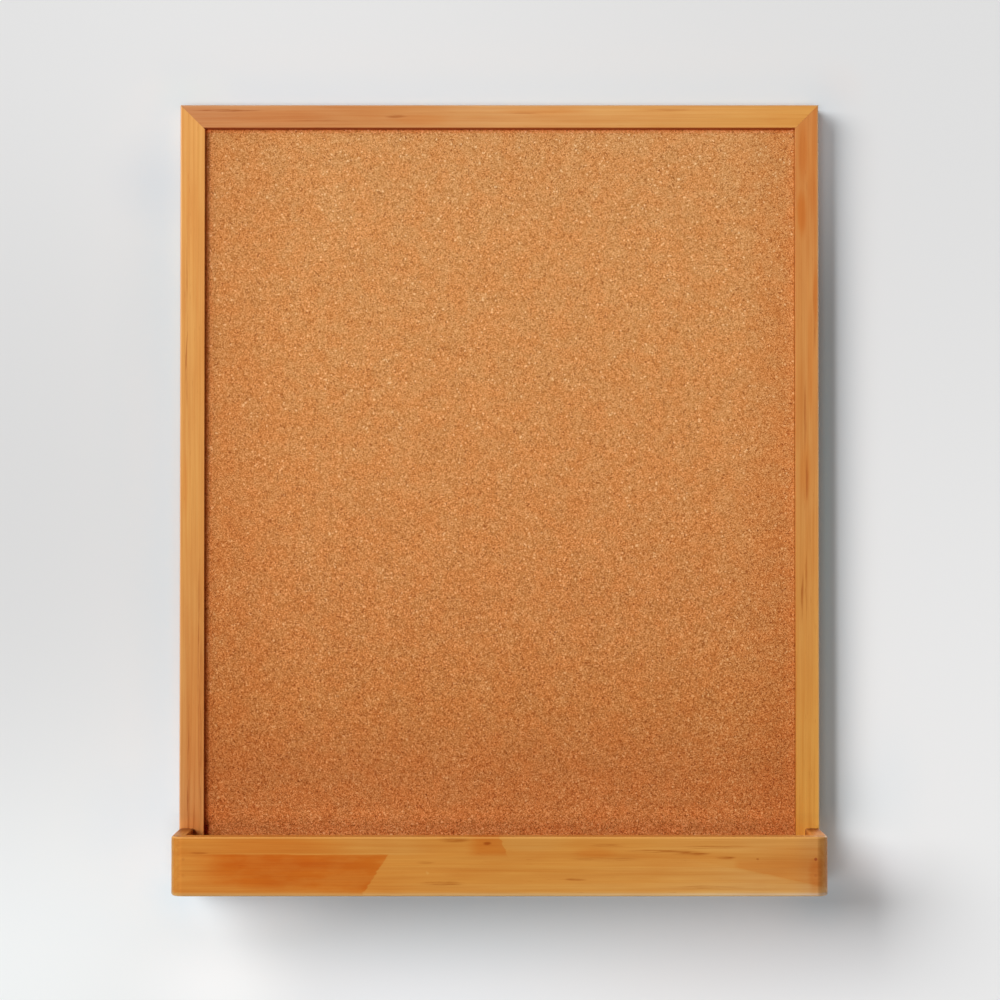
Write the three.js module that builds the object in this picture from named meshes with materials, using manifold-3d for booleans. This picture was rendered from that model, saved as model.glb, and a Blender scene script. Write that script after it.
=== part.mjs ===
// A cork memo board in a mitred pine frame, with a tray across the whole of its foot.
// Millimetres, +Z up. Seen from the front, +X is to the right and +Y goes back to the wall.
// The wall is the plane y = 0. The origin lies on it, midway between the two hangers and
// level with the notches that the wall nails sit in.

import * as THREE from 'three';
import { mergeVertices } from 'three/addons/utils/BufferGeometryUtils.js';
import Module from 'manifold-3d';

// Whole board
const boardWidth = 457.2;
const boardHeight = 558.8;
const wallGap = 2; // the hangers and the pads hold the frame this far off the wall
const seatPlay = 0.3; // play between pieces that seat in one another
const cutOverrun = 1; // how far a cutter runs past the face that it opens

// Frame moulding, an L section whose lip covers the edge of the cork
const mouldingWidth = 17;
const mouldingDepth = 17;
const rimWidth = 10; // wood beside the rabbet
const lipDepth = 4; // wood in front of the rabbet
const outerEase = 1.2;
const innerEase = 0.8;
const mitreGlue = 0.3; // glue line between two mitred ends

// Panel in the rabbet, from the front to the back
const corkThickness = 3;
const coreThickness = 5.5;
const backThickness = 2.5;
const panelPlay = 0.5;

// Tray
const trayDepth = 48; // from the frame's front face to the tray's
const trayHeight = 41.3;
const trayFrontThickness = 12;
const traySideThickness = 10.5;
const trayCornerRadius = 8.5;
const trayEase = 1.5;
const rebateDepth = 3; // how far the side boards let into the front board
const floorThickness = 9.5;
const floorRise = 1.5; // the floor board stays clear of what the tray stands on
const tongueThickness = 4;
const tongueLength = 4;

// V nails across the mitres
const vNailSpan = 3.2; // from the mitre to the end of a wing, square to the mitre
const vNailReach = 3; // from the apex to the ends of the wings, along the mitre
const vNailSheet = 0.5;
const vNailDepth = 8;
const vNailSink = 0.3;
const vNailInsets = [3.5, 8]; // the two apexes' distances from the outer corner, along the mitre

// Flat points that keep the panel in the rabbet
const pointLength = 15;
const pointWidth = 8;
const pointTip = 5;
const pointSheet = 0.6;
const pointBite = 6.5; // length inside the wood
const pointEye = 1.2; // radius of the hole in the tail
const railPointCount = 2;
const railPointInset = 153.6; // from the board's side to the first point
const stilePointCount = 3;
const stilePointInset = 99.4; // from the board's top to the first point

// Toothed hangers
const hangerInset = 76.2; // from the board's side to the hanger's middle notch
const hangerLength = 38;
const hangerHeight = 8;
const hangerSheet = 0.8;
const hangerTab = 8;
const hangerRamp = 2.5;
const toothPitch = 2;
const toothDepth = 1.5;

// Flat-headed nails that hold the hangers
const nailLength = 12;
const nailRadius = 0.7;
const nailHeadRadius = 1.8;
const nailHeadThickness = 0.6;
const nailTip = 1.6;

// Countersunk screws from behind into the tray
const screwLength = 30;
const screwRadius = 1.5;
const screwHeadRadius = 2.6;
const screwHeadDepth = 2;
const screwTip = 4;
const screwSink = 0.2;
const sideScrewShares = [0.23, 0.73]; // of the way from the tray's floor to its upper edge
const floorScrewCount = 3;
const floorScrewInset = 78.6; // from the board's side to the first screw

// Headless brads from the front board into the side boards' ends
const bradLength = 25;
const bradRadius = 0.6;
const bradTip = 1.5;
const bradSink = 1; // filler over the brad's head
const bradInset = 9.2; // from the tray's end
const bradShares = [0.12, 0.49]; // of the way from the tray's floor to its upper edge

// Felt pads behind the lower corners
const padRadius = 4.5;
const padEase = 0.4;
const padRise = 60; // above the tray's foot

// Fineness of the round forms. An arc in an outline gets twice its number of divisions.
const easeDivisions = 2;
const cornerDivisions = 6;
const pointDivisions = 5;
const bevelSegments = 4;
const roundSegments = 16;

// Planes, room and places that follow from the sizes
const halfWidth = boardWidth / 2;
const halfHeight = boardHeight / 2;
const frameRear = -wallGap;
const frameFront = frameRear - mouldingDepth;
const corkFront = frameFront + lipDepth;
const coreFront = corkFront + corkThickness;
const backFront = coreFront + coreThickness;
const backRear = backFront + backThickness;
const panelWidth = boardWidth - 2 * (rimWidth + panelPlay);
const panelHeight = boardHeight - 2 * (rimWidth + panelPlay);
const rimMiddle = rimWidth / 2;
const trayFront = frameFront - trayDepth;
const trayFrontRear = trayFront + trayFrontThickness;
const trayFoot = -halfHeight;
const trayMiddle = trayFoot + trayHeight / 2;
const trayRoomWidth = boardWidth - 2 * traySideThickness;
const floorFoot = trayFoot + floorRise;
const floorMiddle = floorFoot + floorThickness / 2;
const floorTop = floorFoot + floorThickness;
const trayRoomHeight = trayFoot + trayHeight - floorTop;
const hangerFoot = halfHeight - rimMiddle - hangerHeight / 2;
const notchLevel = hangerFoot + toothDepth;
const screwHeadPlane = frameRear - screwSink;

const wasm = await Module();
wasm.setup();

function finish(color, roughness, metalness) {
  return new THREE.MeshStandardMaterial({ color, roughness, metalness, flatShading: true });
}

const pine = finish(0xd2924f, 0.45, 0);
const cork = finish(0xc8844a, 0.95, 0);
const fibreboard = finish(0xb9a88a, 0.95, 0);
const hardboard = finish(0x6f4a2e, 0.7, 0);
const steel = finish(0xa9abad, 0.35, 1);
const brass = finish(0xc6a25a, 0.35, 1);
const felt = finish(0x6b5644, 1, 0);

// The board is assembled about its own middle, and then hung so that the notches are at z = 0
const board = new THREE.Group();
board.position.z = -notchLevel;
const frame = new THREE.Group();
const panel = new THREE.Group();
const tray = new THREE.Group();
const hardware = new THREE.Group();
const cutters = new THREE.Group();
board.add(frame, panel, tray, hardware, cutters);

// A named piece, placed in its group
function addPiece(group, name, geometry, material, x = 0, y = 0, z = 0) {
  const mesh = new THREE.Mesh(geometry, material);
  mesh.name = name;
  mesh.position.set(x, y, z);
  group.add(mesh);
  return mesh;
}

// The cutters that each piece is cut by, once all of them stand in place
const cuts = new Map();

// A cutter that stands as the given mesh does, and cuts each of the pieces named after it
function addCutter(geometry, like, ...pieces) {
  const cutter = new THREE.Mesh(geometry);
  cutter.position.copy(like.position);
  cutter.rotation.copy(like.rotation);
  cutters.add(cutter);
  for (const piece of pieces) {
    cuts.set(piece, [...(cuts.get(piece) ?? []), cutter]);
  }
}

// A geometry with its vertices shared, and without the triangles that shrink to a line at a pole
function welded(geometry) {
  const bare = geometry.clone();
  bare.deleteAttribute('normal');
  bare.deleteAttribute('uv');
  const merged = mergeVertices(bare);
  const corners = merged.index.array;
  const kept = [];
  for (let i = 0; i < corners.length; i += 3) {
    const triangle = corners.slice(i, i + 3);
    if (new Set(triangle).size === triangle.length) {
      kept.push(...triangle);
    }
  }
  return merged.setIndex(kept);
}

// A closed solid of a geometry, carried through a matrix
function solidOf(geometry, matrix = new THREE.Matrix4()) {
  const shell = welded(geometry).applyMatrix4(matrix);
  const vertProperties = Float32Array.from(shell.attributes.position.array);
  const triVerts = Uint32Array.from(shell.index.array);
  return new wasm.Manifold(new wasm.Mesh({ numProp: 3, vertProperties, triVerts }));
}

function geometryOf(solid) {
  const { vertProperties, triVerts } = solid.getMesh();
  const geometry = new THREE.BufferGeometry();
  geometry.setAttribute('position', new THREE.BufferAttribute(vertProperties, 3));
  geometry.setIndex(new THREE.BufferAttribute(triVerts, 1));
  geometry.computeVertexNormals();
  return geometry;
}

function extruded(shape, depth, curveSegments = easeDivisions) {
  return new THREE.ExtrudeGeometry(shape, { depth, curveSegments, bevelEnabled: false });
}

// A solid turned about its own Y axis, from pairs of radius and height that rise along the axis
function turned(...profile) {
  const points = profile.map(([radius, height]) => new THREE.Vector2(radius, height));
  return new THREE.LatheGeometry(points, roundSegments);
}

// Places evenly spaced along a line, from one end of its reach to the other
function evenly(count, reach) {
  return Array.from({ length: count }, (_, index) => ((2 * index) / (count - 1) - 1) * reach);
}

// The moulding's section: x goes from the frame's outer edge inwards, y from its front face back
function mouldingSection() {
  const rearOuter = mouldingDepth - outerEase;
  const rearInner = mouldingDepth - innerEase;
  const quarter = Math.PI / 2;
  const section = new THREE.Shape();
  section.absarc(outerEase, outerEase, outerEase, 2 * quarter, 3 * quarter);
  section.absarc(mouldingWidth - innerEase, innerEase, innerEase, 3 * quarter, 4 * quarter);
  section.lineTo(mouldingWidth, lipDepth);
  section.lineTo(rimWidth, lipDepth);
  section.absarc(rimWidth - innerEase, rearInner, innerEase, 0, quarter);
  section.absarc(outerEase, rearOuter, outerEase, quarter, 2 * quarter);
  section.closePath();
  return section;
}

// A length of moulding along its own Z axis. Each end is sheared back by a point's distance from
// the outer edge, which makes the 45 degree mitre, and by its half of the glue line.
function mitredMoulding(length) {
  const geometry = extruded(mouldingSection(), length);
  geometry.translate(0, 0, -length / 2);
  const position = geometry.attributes.position;
  for (let i = 0; i < position.count; i += 1) {
    const reach = (length - mitreGlue) / 2 - position.getX(i);
    position.setZ(i, Math.sign(position.getZ(i)) * reach);
  }
  return geometry;
}

// A side of the frame, turned about Y so that its outer edge lies on the board's outline
function addFrameSide(name, length, x, z, turn) {
  const side = addPiece(frame, name, mitredMoulding(length), pine, x, frameFront, z);
  side.rotation.y = turn;
  return side;
}

const topRail = addFrameSide('top_rail', boardWidth, 0, halfHeight, Math.PI / 2);
const bottomRail = addFrameSide('bottom_rail', boardWidth, 0, -halfHeight, -Math.PI / 2);
const leftStile = addFrameSide('left_stile', boardHeight, -halfWidth, 0, 0);
const rightStile = addFrameSide('right_stile', boardHeight, halfWidth, 0, Math.PI);

// Cork on a soft core that takes the pins, with a hard back, one behind the other in the rabbet
function addPanelSheet(name, front, thickness, material) {
  const sheet = new THREE.BoxGeometry(panelWidth, thickness, panelHeight);
  return addPiece(panel, name, sheet, material, 0, front + thickness / 2, 0);
}

addPanelSheet('cork_sheet', corkFront, corkThickness, cork);
addPanelSheet('pin_core', coreFront, coreThickness, fibreboard);
addPanelSheet('back_panel', backFront, backThickness, hardboard);

// The tray's front board: its plan, with two rounded corners, rises to the board's height, and
// a bevel eases the upper and lower edges all round.
function trayFrontBoard() {
  const corner = halfWidth - trayCornerRadius;
  const centre = trayCornerRadius;
  const plan = new THREE.Shape();
  plan.moveTo(halfWidth, trayFrontThickness);
  plan.lineTo(-halfWidth, trayFrontThickness);
  plan.absarc(-corner, centre, trayCornerRadius, Math.PI, 1.5 * Math.PI);
  plan.absarc(corner, centre, trayCornerRadius, 1.5 * Math.PI, 2 * Math.PI);
  plan.closePath();
  const geometry = new THREE.ExtrudeGeometry(plan, {
    depth: trayHeight - 2 * trayEase,
    curveSegments: cornerDivisions,
    bevelThickness: trayEase,
    bevelSize: trayEase,
    bevelOffset: -trayEase,
    bevelSegments,
  });
  return geometry.translate(0, 0, trayEase);
}

// A rectangle about the origin with rounded corners
function easedRectangle(width, height, radius) {
  const right = width / 2 - radius;
  const top = height / 2 - radius;
  const quarter = Math.PI / 2;
  const outline = new THREE.Shape();
  outline.absarc(right, top, radius, 0, quarter);
  outline.absarc(-right, top, radius, quarter, 2 * quarter);
  outline.absarc(-right, -top, radius, 2 * quarter, 3 * quarter);
  outline.absarc(right, -top, radius, 3 * quarter, 4 * quarter);
  outline.closePath();
  return outline;
}

// A side board, from the frame's front face into the front board's rebate
function addTraySide(name, side) {
  const length = frameFront - trayFrontRear + rebateDepth - seatPlay;
  const section = easedRectangle(traySideThickness, trayHeight, trayEase);
  const x = side * (halfWidth - traySideThickness / 2);
  const mesh = addPiece(tray, name, extruded(section, length), pine, x, frameFront, trayMiddle);
  mesh.rotation.x = Math.PI / 2;
  return mesh;
}

// A flat board between two planes of y, standing on its own underside
function plank(width, front, rear, thickness) {
  const geometry = new THREE.BoxGeometry(width, rear - front, thickness);
  return geometry.translate(0, (front + rear) / 2, thickness / 2);
}

// The tongue round three sides of the floor board, as a plank that also fills its middle
function tonguePlank(play, overrun) {
  const width = trayRoomWidth + 2 * (tongueLength + play);
  const front = trayFrontRear - tongueLength - play;
  const geometry = plank(width, front, frameFront + overrun, tongueThickness + 2 * play);
  return geometry.translate(0, 0, (floorThickness - tongueThickness) / 2 - play);
}

function trayFloorBoard() {
  const width = trayRoomWidth - 2 * seatPlay;
  const body = plank(width, trayFrontRear + seatPlay, frameFront, floorThickness);
  return geometryOf(solidOf(body).add(solidOf(tonguePlank(0, 0))));
}

// The room for a side board's end, out of the end of the front board
function rebate(side) {
  const width = traySideThickness + seatPlay + cutOverrun;
  const front = trayFrontRear - rebateDepth;
  const geometry = plank(width, front, trayFrontRear + cutOverrun, trayHeight + 2 * cutOverrun);
  return geometry.translate(side * (halfWidth + cutOverrun - width / 2), 0, -cutOverrun);
}

const trayFrontPiece = addPiece(tray, 'tray_front', trayFrontBoard(), pine, 0, trayFront, trayFoot);
const traySideLeft = addTraySide('tray_side_left', -1);
const traySideRight = addTraySide('tray_side_right', 1);
const trayFloor = addPiece(tray, 'tray_floor', trayFloorBoard(), pine, 0, 0, floorFoot);
const trayBase = new THREE.Object3D();
trayBase.position.z = trayFoot;
addCutter(rebate(-1), trayBase, trayFrontPiece);
addCutter(rebate(1), trayBase, trayFrontPiece);
const groove = tonguePlank(seatPlay, cutOverrun);
addCutter(groove, trayFloor, trayFrontPiece, traySideLeft, traySideRight);

// V nail: a bent strip of sheet, seen end on, with its apex at the origin and its wings going
// back along -Y. Play widens it all round, for its slot.
function vNailOutline(play) {
  const slant = Math.hypot(vNailSpan, vNailReach);
  const rise = ((vNailSheet / 2 + play) * slant) / vNailSpan;
  const span = vNailSpan * (1 + play / slant);
  const reach = vNailReach * (1 + play / slant);
  const outline = new THREE.Shape();
  outline.moveTo(0, rise);
  outline.lineTo(-span, rise - reach);
  outline.lineTo(-span, -rise - reach);
  outline.lineTo(0, -rise);
  outline.lineTo(span, -rise - reach);
  outline.lineTo(span, rise - reach);
  outline.closePath();
  return outline;
}

// Turns a mesh so that its own Y and Z axes point in two directions square to each other
function turnTo(mesh, yAxis, zAxis) {
  const xAxis = new THREE.Vector3().crossVectors(yAxis, zAxis);
  mesh.rotation.setFromRotationMatrix(new THREE.Matrix4().makeBasis(xAxis, yAxis, zAxis));
}

// Two V nails at each corner, pressed in from behind, with the mitre through their apexes
function addMitreNails(corner, sideX, sideZ, ...members) {
  for (const [index, inset] of vNailInsets.entries()) {
    const leg = inset * Math.SQRT1_2;
    const name = `mitre_nail_${corner}_${index + 1}`;
    const x = sideX * (halfWidth - leg);
    const z = sideZ * (halfHeight - leg);
    const strip = extruded(vNailOutline(0), vNailDepth);
    const nail = addPiece(hardware, name, strip, steel, x, frameRear - vNailSink, z);
    turnTo(nail, new THREE.Vector3(sideX, 0, sideZ).normalize(), new THREE.Vector3(0, -1, 0));
    const mouth = vNailSink + cutOverrun;
    const slot = extruded(vNailOutline(seatPlay), vNailDepth + seatPlay + mouth);
    addCutter(slot.translate(0, 0, -mouth), nail, ...members);
  }
}

addMitreNails('top_left', -1, 1, topRail, leftStile);
addMitreNails('top_right', 1, 1, topRail, rightStile);
addMitreNails('bottom_left', -1, -1, bottomRail, leftStile);
addMitreNails('bottom_right', 1, -1, bottomRail, rightStile);

// Panel point: flat steel with its tip along +Y, y = 0 at the rabbet's wall, and a round tail
function pointOutline(play) {
  const half = pointWidth / 2 + play;
  const shoulder = pointBite - pointTip;
  const tail = pointBite - pointLength + pointWidth / 2;
  const outline = new THREE.Shape();
  outline.moveTo(half, shoulder);
  outline.lineTo(0, pointBite + play);
  outline.lineTo(-half, shoulder);
  outline.absarc(0, tail, half, Math.PI, 2 * Math.PI);
  outline.closePath();
  return outline;
}

function panelPoint() {
  const outline = pointOutline(0);
  const eye = new THREE.Path();
  eye.absarc(0, pointBite - pointLength + pointWidth / 2, pointEye, 0, 2 * Math.PI);
  outline.holes.push(eye);
  return extruded(outline, pointSheet, pointDivisions);
}

// A point that lies flat on the back panel, with its tip in the frame's side
function addPoint(name, x, z, outward, member) {
  const point = addPiece(hardware, name, panelPoint(), steel, x, backRear, z);
  turnTo(point, outward, new THREE.Vector3(0, 1, 0));
  const slot = extruded(pointOutline(seatPlay), pointSheet + 2 * seatPlay, pointDivisions);
  addCutter(slot.translate(0, 0, -seatPlay), point, member);
}

const rabbetX = halfWidth - rimWidth;
const rabbetZ = halfHeight - rimWidth;
const up = new THREE.Vector3(0, 0, 1);
const down = new THREE.Vector3(0, 0, -1);
const left = new THREE.Vector3(-1, 0, 0);
const right = new THREE.Vector3(1, 0, 0);
for (const [index, x] of evenly(railPointCount, halfWidth - railPointInset).entries()) {
  addPoint(`panel_point_top_${index + 1}`, x, rabbetZ, up, topRail);
  addPoint(`panel_point_bottom_${index + 1}`, x, -rabbetZ, down, bottomRail);
}
for (const [index, z] of evenly(stilePointCount, halfHeight - stilePointInset).entries()) {
  addPoint(`panel_point_left_${index + 1}`, -rabbetX, z, left, leftStile);
  addPoint(`panel_point_right_${index + 1}`, rabbetX, z, right, rightStile);
}

// Hanger strip, seen from above: two flat tabs, and between them a part bent off the wood
function hangerStrip() {
  const end = hangerLength / 2;
  const rampFoot = end - hangerTab;
  const rampHead = rampFoot - hangerRamp;
  const raised = wallGap - hangerSheet;
  const strip = new THREE.Shape();
  strip.moveTo(-end, 0);
  strip.lineTo(-rampFoot, 0);
  strip.lineTo(-rampHead, raised);
  strip.lineTo(rampHead, raised);
  strip.lineTo(rampFoot, 0);
  strip.lineTo(end, 0);
  strip.lineTo(end, hangerSheet);
  strip.lineTo(rampFoot, hangerSheet);
  strip.lineTo(rampHead, wallGap);
  strip.lineTo(-rampHead, wallGap);
  strip.lineTo(-rampFoot, hangerSheet);
  strip.lineTo(-end, hangerSheet);
  strip.closePath();
  return extruded(strip, hangerHeight);
}

// One notch between two teeth, open to the strip's lower edge
function notch(middle) {
  const outline = new THREE.Shape();
  outline.moveTo(middle, toothDepth);
  outline.lineTo(middle - toothPitch / 2, 0);
  outline.lineTo(middle - toothPitch / 2, -cutOverrun);
  outline.lineTo(middle + toothPitch / 2, -cutOverrun);
  outline.lineTo(middle + toothPitch / 2, 0);
  outline.closePath();
  const geometry = extruded(outline, wallGap + 2 * cutOverrun);
  return geometry.rotateX(Math.PI / 2).translate(0, wallGap + cutOverrun, 0);
}

// The notches fill the raised part from its middle outwards, so one of them is at its middle
function toothedHanger() {
  const raisedHalf = hangerLength / 2 - hangerTab - hangerRamp;
  const perSide = Math.floor(raisedHalf / toothPitch - 1 / 2);
  let solid = solidOf(hangerStrip());
  for (const middle of evenly(2 * perSide + 1, perSide * toothPitch)) {
    solid = solid.subtract(solidOf(notch(middle)));
  }
  return geometryOf(solid);
}

// Nails, screws and brads stand head up on their own Y axis, with y = 0 at the plane they seat on
const hangerNail = turned(
  [0, -nailLength],
  [nailRadius, nailTip - nailLength],
  [nailRadius, 0],
  [nailHeadRadius, 0],
  [nailHeadRadius, nailHeadThickness],
  [0, nailHeadThickness],
);

const trayScrew = turned(
  [0, -screwLength],
  [screwRadius, screwTip - screwLength],
  [screwRadius, -screwHeadDepth],
  [screwHeadRadius, 0],
  [0, 0],
);

const trayBrad = turned(
  [0, -bradLength],
  [bradRadius, bradTip - bradLength],
  [bradRadius, 0],
  [0, 0],
);

// A straight hole round a nail or brad, from past its tip to a mouth above its seat
function nailHole(radius, length, mouth) {
  const wall = radius + seatPlay;
  const foot = -length - seatPlay;
  return turned([0, foot], [wall, foot], [wall, mouth], [0, mouth]);
}

// A countersunk hole round a screw
function screwHole() {
  const wall = screwRadius + seatPlay;
  const sinkWall = screwHeadRadius + seatPlay;
  const foot = -screwLength - seatPlay;
  const mouth = screwSink + cutOverrun;
  return turned(
    [0, foot],
    [wall, foot],
    [wall, -screwHeadDepth],
    [sinkWall, 0],
    [sinkWall, mouth],
    [0, mouth],
  );
}

// A hanger on the back of the top rail, with a nail through each tab
function addHanger(side, sign) {
  const x = sign * (halfWidth - hangerInset);
  const hanger = addPiece(hardware, `hanger_${side}`, toothedHanger(), brass, x, frameRear, hangerFoot);
  const seat = frameRear + hangerSheet;
  const middle = hangerFoot + hangerHeight / 2;
  for (const [index, offset] of evenly(2, (hangerLength - hangerTab) / 2).entries()) {
    const name = `hanger_nail_${side}_${index + 1}`;
    const nail = addPiece(hardware, name, hangerNail.clone(), brass, x + offset, seat, middle);
    addCutter(nailHole(nailRadius, nailLength, cutOverrun), nail, hanger, topRail);
  }
}

addHanger('left', -1);
addHanger('right', 1);

// A screw through the frame from behind, into a board of the tray
function addScrew(name, x, z, ...pieces) {
  const screw = addPiece(hardware, name, trayScrew.clone(), steel, x, screwHeadPlane, z);
  addCutter(screwHole(), screw, ...pieces);
}

for (const [index, share] of sideScrewShares.entries()) {
  const x = halfWidth - rimMiddle;
  const z = floorTop + share * trayRoomHeight;
  addScrew(`tray_screw_left_${index + 1}`, -x, z, leftStile, traySideLeft);
  addScrew(`tray_screw_right_${index + 1}`, x, z, rightStile, traySideRight);
}
for (const [index, x] of evenly(floorScrewCount, halfWidth - floorScrewInset).entries()) {
  addScrew(`tray_screw_floor_${index + 1}`, x, floorMiddle, bottomRail, trayFloor);
}

// A brad from the front, with filler over its head, into the end of a side board
function addBrad(name, x, z, sideBoard) {
  const brad = addPiece(hardware, name, trayBrad.clone(), steel, x, trayFront + bradSink, z);
  brad.rotation.x = Math.PI;
  addCutter(nailHole(bradRadius, bradLength, seatPlay), brad, trayFrontPiece, sideBoard);
}

for (const [index, share] of bradShares.entries()) {
  const x = halfWidth - bradInset;
  const z = floorTop + share * trayRoomHeight;
  addBrad(`tray_brad_left_${index + 1}`, -x, z, traySideLeft);
  addBrad(`tray_brad_right_${index + 1}`, x, z, traySideRight);
}

// Pads that hold the lower corners as far off the wall as the hangers hold the upper edge
const wallPad = turned(
  [0, 0],
  [padRadius, 0],
  [padRadius, wallGap - padEase],
  [padRadius - padEase, wallGap],
  [0, wallGap],
);
const padX = halfWidth - rimMiddle;
addPiece(hardware, 'wall_pad_left', wallPad.clone(), felt, -padX, frameRear, trayFoot + padRise);
addPiece(hardware, 'wall_pad_right', wallPad.clone(), felt, padX, frameRear, trayFoot + padRise);

// Each piece is cut in its own frame, where it stands in the assembly
board.updateMatrixWorld(true);
for (const [piece, tools] of cuts) {
  const toPiece = piece.matrixWorld.clone().invert();
  let solid = solidOf(piece.geometry);
  for (const tool of tools) {
    solid = solid.subtract(solidOf(tool.geometry, toPiece.clone().multiply(tool.matrixWorld)));
  }
  piece.geometry = geometryOf(solid);
}
board.remove(cutters);

export default board;
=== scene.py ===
# A cork memo board in a mitred pine frame, with a wooden tray across its foot, hung on a pale
# wall. Metres, +Z up, and the wall is the plane y = 0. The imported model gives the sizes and
# places, and the sections follow the board as it is put together.

import math

import bmesh
import bpy
import numpy as np
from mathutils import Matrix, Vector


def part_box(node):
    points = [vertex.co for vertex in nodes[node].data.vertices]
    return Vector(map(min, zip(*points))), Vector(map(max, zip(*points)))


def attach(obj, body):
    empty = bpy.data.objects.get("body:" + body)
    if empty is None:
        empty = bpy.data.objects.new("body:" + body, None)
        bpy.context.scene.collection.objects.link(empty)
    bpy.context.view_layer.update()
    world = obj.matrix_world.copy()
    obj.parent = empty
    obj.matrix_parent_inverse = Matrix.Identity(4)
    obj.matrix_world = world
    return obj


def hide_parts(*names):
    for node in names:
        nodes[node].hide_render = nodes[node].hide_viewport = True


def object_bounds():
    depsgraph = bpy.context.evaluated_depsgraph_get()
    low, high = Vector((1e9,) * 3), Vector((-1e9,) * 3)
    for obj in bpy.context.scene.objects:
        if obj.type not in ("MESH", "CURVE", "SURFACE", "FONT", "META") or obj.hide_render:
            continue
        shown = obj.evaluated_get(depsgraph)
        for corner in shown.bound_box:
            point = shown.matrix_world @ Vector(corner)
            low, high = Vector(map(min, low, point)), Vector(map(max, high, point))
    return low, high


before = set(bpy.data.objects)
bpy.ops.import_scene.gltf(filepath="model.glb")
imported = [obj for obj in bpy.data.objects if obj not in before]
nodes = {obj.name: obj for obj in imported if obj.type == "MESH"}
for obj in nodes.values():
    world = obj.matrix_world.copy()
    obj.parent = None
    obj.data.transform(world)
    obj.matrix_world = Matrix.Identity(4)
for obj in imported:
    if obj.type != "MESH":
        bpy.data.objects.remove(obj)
cad_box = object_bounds()


# The camera
# It stands in front of the board, 1.7 m from the frame's face, a little below the middle and
# turned up by less than a degree, with a long lens.

camera_place = (0.0004, -1.7253, -0.2981)
camera_rise = math.radians(0.755)
camera_lens = 85.917
camera_sensor = 36.0


def placed(name, data):
    made = bpy.data.objects.new(name, data)
    bpy.context.scene.collection.objects.link(made)
    return made


camera_data = bpy.data.cameras.new("front_camera")
camera_data.lens = camera_lens
camera_data.sensor_width = camera_sensor
camera = placed("front_camera", camera_data)
camera.location = camera_place
camera.rotation_euler = (math.pi / 2 + camera_rise, 0, 0)
bpy.context.scene.camera = camera
bpy.context.scene.view_settings.view_transform = "Standard"


# The wall
# Pale matt paint, with painted light and shade round the board and a painted shadow at
# its right. Only its front side is opaque, so that the board's back shows from behind, and
# light for the board's back passes through it.

def linear(code):
    """The linear colour of an sRGB hex code: a share c becomes ((c + 0.055) / 1.055) to the
    power 2.4, or c / 12.92 where it is near black."""
    shares = np.array([code >> 16 & 255, code >> 8 & 255, code & 255]) / 255
    curve = np.where(shares > 0.04045, ((shares + 0.055) / 1.055) ** 2.4, shares / 12.92)
    return (*curve, 1.0)


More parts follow.
